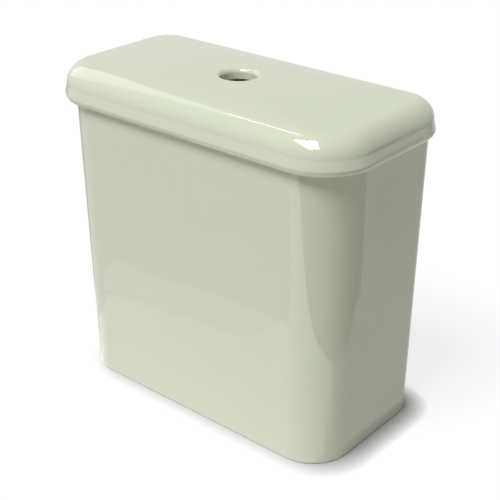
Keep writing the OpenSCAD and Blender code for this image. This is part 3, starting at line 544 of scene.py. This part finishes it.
class MakeTank(bpy.types.Operator):
    """Glazed china tank, unglazed inside and under its foot"""

    bl_idname = "cistern.make_tank"
    bl_label = "Tank"

    def execute(self, context):
        sizes = context.scene.cistern_sizes
        made = finishes()
        edge = sizes.edge
        floor_z = sizes.recess + sizes.floor
        fillet = sizes.recess_fillet
        bm = bmesh.new()
        recess = arc(sizes.foot_ring + fillet, sizes.recess - fillet, fillet, 90, 180)
        recess += arc(sizes.foot_ring - edge, edge + HAIR, edge, 0, -90)
        recess += [(edge, 0.0)]
        outside = arc(edge, edge, edge, 270, 180)[1:]
        outside += [(0.0, z) for z in steps(edge, RIM_Z - edge, WALL_RINGS)[1:-1]]
        outside += arc(edge, RIM_Z - edge, edge, 180, 90)
        outside += arc(sizes.wall - edge, RIM_Z - edge - HAIR, edge, 90, 0)
        inner = sizes.floor_fillet
        inside = arc(sizes.wall + inner, floor_z + inner, inner, 180, 270)
        rings = [tank_ring(bm, sizes, *point) for point in recess + outside + inside]
        skin(bm, rings, [1] * len(recess) + [0] * len(outside) + [1] * len(inside))
        for cap in (rings[0], rings[-1]):
            for face in bmesh.ops.contextual_create(bm, geom=cap)["faces"]:
                face.material_index = 1
        glaze = made["Sage glaze on vitreous china"]
        bare = made["Unglazed vitreous china"]
        piece = to_object(bm, "tank_china", [glaze, bare])
        holes = bmesh.new()
        soft = 1 * MM
        for x, radius in ((0, sizes.tail_hole), (INLET_X, sizes.inlet_hole),
                          (sizes.bolt_reach, sizes.bolt_hole), (-sizes.bolt_reach, sizes.bolt_hole)):
            hole_cutter(holes, radius, sizes.recess, floor_z, soft, Matrix.Translation((x, 0, 0)))
        for x in (sizes.screw_reach, -sizes.screw_reach):
            spot = (x, TANK_HIGH.y, RIM_Z - sizes.screw_drop)
            lean = Matrix.Translation(spot) @ Matrix.Rotation(math.pi / 2, 4, "X")
            hole_cutter(holes, sizes.screw_hole, 0, sizes.wall, soft, lean)
        cut_away(piece, to_object(holes, "cutter", [glaze, bare]))
        keep_flats(piece)
        place(piece, "tank", "glazed_china", "cistern_body")
        return {"FINISHED"}


class MakeLid(bpy.types.Operator):
    """Glazed china lid with its open button hole"""

    bl_idname = "cistern.make_lid"
    bl_label = "Lid"

    def execute(self, context):
        sizes = context.scene.cistern_sizes
        made = finishes()
        edge_z = CROWN_Z - sizes.crown
        ceiling_z = CROWN_Z - sizes.lid_thick
        flat = sizes.hole + sizes.hole_edge + sizes.hole_land
        round_over = sizes.lid_edge
        bm = bmesh.new()
        lip = []
        for a in steps(0, 90, 8):
            rise = math.radians(a)
            inset = sizes.lip_depth * (1 - math.sin(rise))
            lip.append((inset, RIM_Z + sizes.lip_height * (1 - math.cos(rise))))
        rings = [lid_ring(bm, sizes, *point) for point in lip]
        last = math.degrees(math.atan((LID_HIGH.y - round_over - flat) / (2 * sizes.crown)))
        top = arc(sizes.lid_lean + round_over, edge_z - round_over, round_over, 180, 180 - last, 18)
        rings += [lid_ring(bm, sizes, *point) for point in top]
        top_inset, top_z = top[-1]
        for share in steps(0, 1, DOME_RINGS)[1:]:
            height = mix(top_z, CROWN_Z, 1 - (1 - share) ** 2)
            rings.append(lid_ring(bm, sizes, top_inset, height, flat, share))
        over = sizes.hole_edge
        throat = arc(sizes.hole + over, CROWN_Z - over - HAIR, over, 90, 180, 10)
        under = sizes.hole_under
        throat += arc(sizes.hole + under, ceiling_z + under, under, 180, 270, 5)
        rings += [hole_ring(bm, *point) for point in throat]
        glazed = len(rings)
        rib_out = sizes.wall + sizes.rib_gap
        rib_in = rib_out + sizes.rib
        fillet = sizes.lid_thick
        soft = 1.5 * MM
        rib = arc(rib_in + fillet, ceiling_z - fillet - HAIR, fillet, 90, 180, 8)
        rib += arc(rib_in - soft, LID_LOW.z + soft, soft, 0, -90, 4)
        rib += arc(rib_out + soft, LID_LOW.z + soft + HAIR, soft, 270, 180, 4)
        rib += [(rib_out, RIM_Z + HAIR)]
        rings += [tank_ring(bm, sizes, *point, level=RIM_Z) for point in rib]
        rings.append(lid_ring(bm, sizes, *lip[0]))
        skin(bm, rings, [0] * glazed + [1] * (len(rings) - glazed))
        glaze = made["Sage glaze on vitreous china"]
        bare = made["Unglazed vitreous china"]
        piece = to_object(bm, "lid_china", [glaze, bare])
        keep_flats(piece)
        place(piece, "lid", "glazed_china", "cistern_lid")
        return {"FINISHED"}


class MakeTails(bpy.types.Operator):
    """Outlet and inlet tails with their threads"""

    bl_idname = "cistern.make_tails"
    bl_label = "Threaded tails"

    def execute(self, context):
        sizes = context.scene.cistern_valves
        plastic = finishes()["Moulded white polypropylene"]
        root = sizes.tail - sizes.depth
        flange_top = sizes.flange_low + sizes.flange
        seat = sizes.tail_bore + sizes.seat
        outlet = [
            (sizes.tail_bore, TAIL_LOW.z), (root, TAIL_LOW.z), (root, sizes.flange_low),
            (TAIL_HIGH.x, sizes.flange_low), (TAIL_HIGH.x, flange_top), (seat, flange_top),
            (seat, TAIL_HIGH.z), (sizes.tail_bore, TAIL_HIGH.z),
        ]
        bm = bmesh.new()
        lathe(bm, outlet)
        soften(bm, sizes.edge)
        nut_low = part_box("flush_backnut")[0].z
        thread(bm, 0, root, sizes.tail, sizes.tail_pitch, TAIL_LOW.z, nut_low)
        piece = to_object(bm, "outlet_tail", [plastic], weld=FINE_WELD)
        keep_flats(piece)
        place(piece, "tank", "white_plastic", "flush_base")

        root = sizes.shank - sizes.depth
        flange_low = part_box("shank_washer")[1].z
        flange_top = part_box("lock_ring")[0].z
        inlet = [
            (sizes.shank_bore, SHANK_LOW.z), (root, SHANK_LOW.z), (root, flange_low),
            (SHANK_HIGH.x - INLET_X, flange_low), (SHANK_HIGH.x - INLET_X, flange_top),
            (sizes.shank_tube, flange_top), (sizes.shank_tube, SHANK_HIGH.z),
            (sizes.shank_bore, SHANK_HIGH.z),
        ]
        bm = bmesh.new()
        lathe(bm, inlet, INLET_X)
        soften(bm, sizes.edge)
        nut_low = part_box("shank_backnut")[0].z
        thread(bm, INLET_X, root, sizes.shank, sizes.shank_pitch, SHANK_LOW.z, nut_low)
        piece = to_object(bm, "inlet_tail", [plastic], weld=FINE_WELD)
        keep_flats(piece)
        place(piece, "tank", "white_plastic", "inlet_shank")
        return {"FINISHED"}


class MakeSpring(bpy.types.Operator):
    """Coil spring of the push plunger, with closed ends"""

    bl_idname = "cistern.make_spring"
    bl_label = "Plunger spring"

    def execute(self, context):
        wire = context.scene.cistern_valves.wire
        coil = SPRING_HIGH.x - wire
        height = SPRING_HIGH.z - SPRING_LOW.z
        closed_rise = CLOSED_RISE * wire
        open_rise = (height - 2 * wire - 2 * closed_rise) / OPEN_TURNS
        bm = bmesh.new()
        start = Matrix.Translation((coil, 0, SPRING_LOW.z + wire)) @ Matrix.Rotation(math.pi / 2, 4, "X")
        bmesh.ops.create_circle(bm, cap_ends=True, segments=12, radius=wire, matrix=start)
        end = bm.verts[:] + bm.edges[:] + bm.faces[:]
        for turns, rise in ((1, closed_rise), (OPEN_TURNS, open_rise), (1, closed_rise)):
            end = bmesh.ops.spin(
                bm, geom=end, cent=(0, 0, 0), axis=(0, 0, 1), dvec=(0, 0, rise / TURN_STEPS),
                angle=2 * math.pi * turns, steps=TURN_STEPS * turns, use_merge=False, use_duplicate=False,
            )["geom_last"]
        piece = to_object(bm, "spring_coil", [finishes()["Drawn stainless steel"]], weld=FINE_WELD)
        place(piece, "tank", "steel", "plunger_spring")
        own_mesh(piece)
        return {"FINISHED"}


class DressValves(bpy.types.Operator):
    """Finishes of the moulded and metal pieces of both valves"""

    bl_idname = "cistern.dress_valves"
    bl_label = "Valve finishes"

    def execute(self, context):
        made = finishes()
        edge = context.scene.cistern_valves.edge
        by_slot = {
            "white_plastic": "Moulded white polypropylene",
            "grey_plastic": "Moulded grey acetal",
            "blue_plastic": "Moulded blue ABS",
            "black_rubber": "Moulded black rubber",
            "red_silicone": "Cast red silicone",
            "steel": "Drawn stainless steel",
        }
        for part in frame["record"]["subparts"]:
            if part["material_slot"] in by_slot:
                node = frame["nodes"][part["node"]]
                node.material_slots[0].material = made[by_slot[part["material_slot"]]]
                weld = node.modifiers.new("join", "WELD")
                weld.merge_threshold = WELD
                flat = node.modifiers.new("faces", "DECIMATE")
                flat.decimate_type = "DISSOLVE"
                flat.angle_limit = FLAT
                ease = node.modifiers.new("eased edges", "BEVEL")
                ease.width = edge
                ease.segments = 2
                ease.limit_method = "ANGLE"
                ease.angle_limit = SHARP
                keep_flats(node)
        return {"FINISHED"}


def seen_rays(tree):
    """One for rays of the camera, of reflections and of glass, and nought for the rest."""
    path = add_node(tree, "ShaderNodeLightPath")
    first = add_node(
        tree, "ShaderNodeMath", {0: path.outputs["Is Camera Ray"], 1: path.outputs["Is Glossy Ray"]},
        operation="MAXIMUM",
    )
    both = add_node(
        tree, "ShaderNodeMath", {0: first.outputs[0], 1: path.outputs["Is Transmission Ray"]},
        operation="MAXIMUM",
    )
    return both.outputs[0]


def make_camera(scene):
    """Camera at the photo's viewing angle."""
    camera = bpy.data.objects.new("camera", bpy.data.cameras.new("camera"))
    scene.collection.objects.link(camera)
    camera.location = CAMERA_PLACE
    camera.rotation_euler = Euler((math.radians(90 - CAMERA_DROP), 0, math.radians(CAMERA_TURN)))
    camera.data.sensor_width = SENSOR
    camera.data.lens = SENSOR * FOCAL_PIXELS / IMAGE_PIXELS
    scene.camera = camera


def make_world(scene):
    """White surroundings to look at, and a weaker light with a faint tint from them."""
    world = bpy.data.worlds.new("studio")
    scene.world = world
    world.use_nodes = True
    tree = world.node_tree
    tree.nodes.clear()
    soft = add_node(tree, "ShaderNodeBackground", {"Strength": SKY_LIGHT, "Color": SKY_TINT})
    white = add_node(tree, "ShaderNodeBackground", {"Strength": SKY_SEEN, "Color": WHITE})
    both = add_node(
        tree, "ShaderNodeMixShader", {0: seen_rays(tree), 1: soft.outputs[0], 2: white.outputs[0]},
    )
    add_node(tree, "ShaderNodeOutputWorld", {"Surface": both.outputs[0]})


def make_floor():
    """White paper floor that looks white, with a shadow close around what stands on it."""
    bm = bmesh.new()
    bmesh.ops.create_grid(bm, x_segments=1, y_segments=1, size=FLOOR_REACH)
    material, tree = new_finish("White paper")
    seen = seen_rays(tree)
    tint = add_node(tree, "ShaderNodeMix", {0: seen, 6: PAPER, 7: PAPER_SEEN}, data_type="RGBA")
    paper = add_node(tree, "ShaderNodeBsdfDiffuse", {"Color": tint.outputs[2]})
    lean = add_node(tree, "ShaderNodeCombineXYZ", dict(enumerate(SHADOW_LEAN)))
    close = add_node(
        tree, "ShaderNodeAmbientOcclusion", {"Distance": SHADOW_REACH, "Normal": lean.outputs[0]},
        samples=SHADOW_SAMPLES,
    )
    lift = add_node(tree, "ShaderNodeMath", {0: seen, 1: PAPER_LIFT}, operation="MULTIPLY")
    dark = add_node(tree, "ShaderNodeMath", {0: close.outputs["AO"], 1: SHADOW_DEPTH}, operation="POWER")
    shaded = add_node(
        tree, "ShaderNodeMath", {0: dark.outputs[0], 1: lift.outputs[0]}, operation="MULTIPLY",
    )
    glow = add_node(tree, "ShaderNodeEmission", {"Color": WHITE, "Strength": shaded.outputs[0]})
    both = add_node(tree, "ShaderNodeAddShader", {0: paper.outputs[0], 1: glow.outputs[0]})
    add_node(tree, "ShaderNodeOutputMaterial", {"Surface": both.outputs[0]})
    to_object(bm, "floor", [material])


def make_card(name, corners, strength):
    """Flat card of an even brightness that shows only in reflections."""
    bm = bmesh.new()
    bm.faces.new([bm.verts.new(Vector(corner)) for corner in corners])
    material, tree = new_finish("Studio card " + name)
    glow = add_node(tree, "ShaderNodeEmission", {"Color": WHITE, "Strength": strength})
    add_node(tree, "ShaderNodeOutputMaterial", {"Surface": glow.outputs[0]})
    card = to_object(bm, name, [material])
    card.visible_camera = False
    card.visible_diffuse = False
    card.visible_shadow = False
    card.visible_transmission = False


def make_lamp(scene, name, turn, height, spread, strength):
    """Wide far lamp, seen from the front at a turn and a height, that doesn't show in the glaze."""
    light = bpy.data.lights.new(name, "SUN")
    light.angle = math.radians(spread)
    light.energy = strength * math.pi
    lamp = bpy.data.objects.new(name, light)
    scene.collection.objects.link(lamp)
    lamp.rotation_euler = Euler((math.radians(90 - height), 0, math.radians(turn)))
    lamp.visible_glossy = False


class MakeStage(bpy.types.Operator):
    """Pale floor, cards, a soft lamp and the camera"""

    bl_idname = "cistern.make_stage"
    bl_label = "Stage"

    def execute(self, context):
        scene = context.scene
        scene.view_settings.view_transform = "Standard"
        make_camera(scene)
        make_world(scene)
        make_floor()
        for name, height, outline, strength in FLOOR_CARDS:
            make_card(name, [(x, y, height) for x, y in outline], strength)
        for card in FAR_CARDS:
            make_card(*card)
        for lamp in LAMPS:
            make_lamp(scene, *lamp)
        return {"FINISHED"}


class CisternPanel(bpy.types.Panel):
    """Sizes, colours and steps of the cistern"""

    bl_idname = "VIEW3D_PT_cistern"
    bl_label = "China Cistern"
    bl_space_type = "VIEW_3D"
    bl_region_type = "UI"
    bl_category = "Cistern"

    def draw(self, context):
        scene = context.scene
        for group in (scene.cistern_sizes, scene.cistern_valves, scene.cistern_finishes):
            for name in group.__annotations__:
                self.layout.prop(group, name)
        for step in OPERATORS:
            self.layout.operator(step.bl_idname)


OPERATORS = (MakeTank, MakeLid, MakeTails, MakeSpring, DressValves, MakeStage)
CLASSES = (ChinaSizes, ValveSizes, Finishes) + OPERATORS + (CisternPanel,)


def register():
    for cls in CLASSES:
        bpy.utils.register_class(cls)
    bpy.types.Scene.cistern_sizes = bpy.props.PointerProperty(type=ChinaSizes)
    bpy.types.Scene.cistern_valves = bpy.props.PointerProperty(type=ValveSizes)
    bpy.types.Scene.cistern_finishes = bpy.props.PointerProperty(type=Finishes)


def unregister():
    del bpy.types.Scene.cistern_finishes
    del bpy.types.Scene.cistern_valves
    del bpy.types.Scene.cistern_sizes
    for cls in reversed(CLASSES):
        bpy.utils.unregister_class(cls)


def main():
    register()
    bpy.ops.cistern.make_tank()
    bpy.ops.cistern.make_lid()
    bpy.ops.cistern.make_tails()
    bpy.ops.cistern.make_spring()
    bpy.ops.cistern.dress_valves()
    bpy.ops.cistern.make_stage()


if __name__ == "__main__":
    main()
